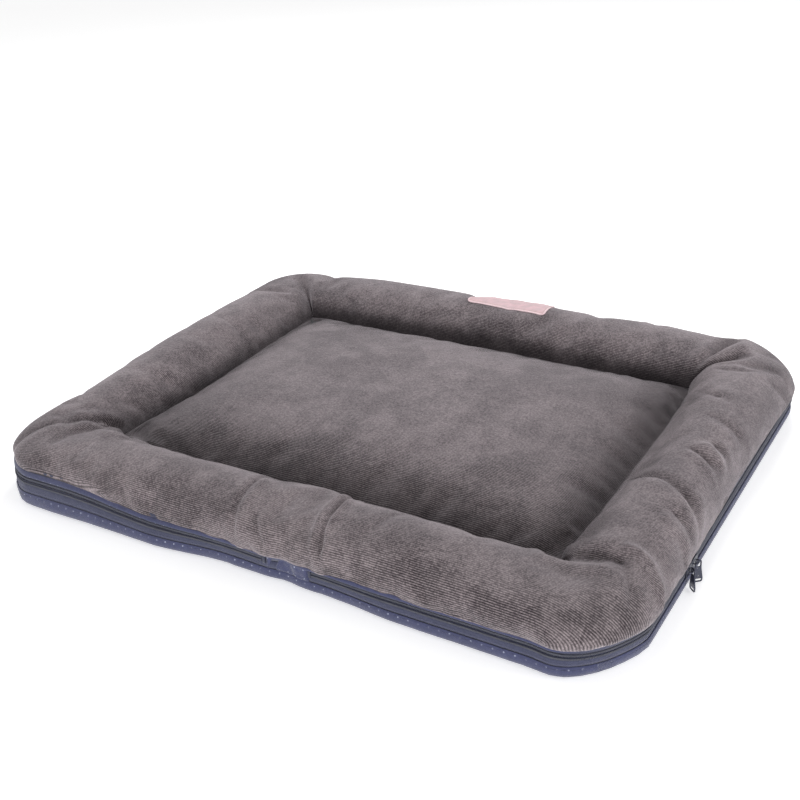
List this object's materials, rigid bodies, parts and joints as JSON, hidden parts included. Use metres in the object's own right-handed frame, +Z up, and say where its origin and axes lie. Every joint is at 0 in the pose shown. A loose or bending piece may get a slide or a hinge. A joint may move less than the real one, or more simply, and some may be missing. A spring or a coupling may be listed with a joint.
{
  "type": "pet cushion bed",
  "caption": "Low rectangular pet bed: a stuffed corduroy border round a crowned centre, zipped all round to a shallow base cloth with a removable pad inside.",
  "frame": {"origin": "centre of the underside, on the surface that the bed lies on", "axes": "+X along the long side, +Y from the front, where the zip's ends are, to the back, where the label is, +Z up"},
  "size_m": [0.7093, 0.5513, 0.0663],
  "materials": {
    "corduroy": "short-pile fine corduroy, matt with a grazing sheen",
    "base_cloth": "navy woven cloth with small pale anti-slip dots",
    "lining_cloth": "thin woven lining",
    "liner_cloth": "white nonwoven bag",
    "fibre": "loose polyester fibre",
    "zip_tape": "ribbed woven tape",
    "zip_coil": "satin nylon coil",
    "zip_metal": "dark lacquered die-cast metal",
    "label_leather": "pinkish split leather with a pressed border"
  },
  "bodies": {
    "bed": {"base_fabric": "base_cloth", "insert_liner": "liner_cloth", "insert_pad": "fibre", "centre_fill": "fibre", "front_bolster_fill": "fibre", "right_bolster_fill": "fibre", "back_bolster_fill": "fibre", "left_bolster_fill": "fibre", "lining_panel": "lining_cloth", "lower_tape": "zip_tape", "upper_tape": "zip_tape", "zip_end_tab": "zip_tape", "lower_coil": "zip_coil", "upper_coil": "zip_coil", "zip_stops": "zip_metal", "top_cover": "corduroy", "name_label": "label_leather"},
    "front_slider": {"front_slider": "zip_metal"},
    "front_pull": {"front_pull": "zip_metal"},
    "rear_slider": {"rear_slider": "zip_metal"},
    "rear_pull": {"rear_pull": "zip_metal"}
  },
  "joints": [
    {"name": "front_slider_run", "type": "slide", "parent": "bed", "child": "front_slider", "axis": [0, -1, 0], "range_m": [0, 0.075]},
    {"name": "rear_slider_run", "type": "slide", "parent": "bed", "child": "rear_slider", "axis": [0, 1, 0], "range_m": [0, 0.314]},
    {"name": "front_pull_swing", "type": "hinge", "parent": "front_slider", "child": "front_pull", "pos_m": [0.3552, -0.1264, 0.0215], "axis": [0, -1, 0], "range_deg": [0, 130]},
    {"name": "rear_pull_swing", "type": "hinge", "parent": "rear_slider", "child": "rear_pull", "pos_m": [0.3552, -0.1128, 0.0215], "axis": [0, -1, 0], "range_deg": [0, 130]}
  ]
}
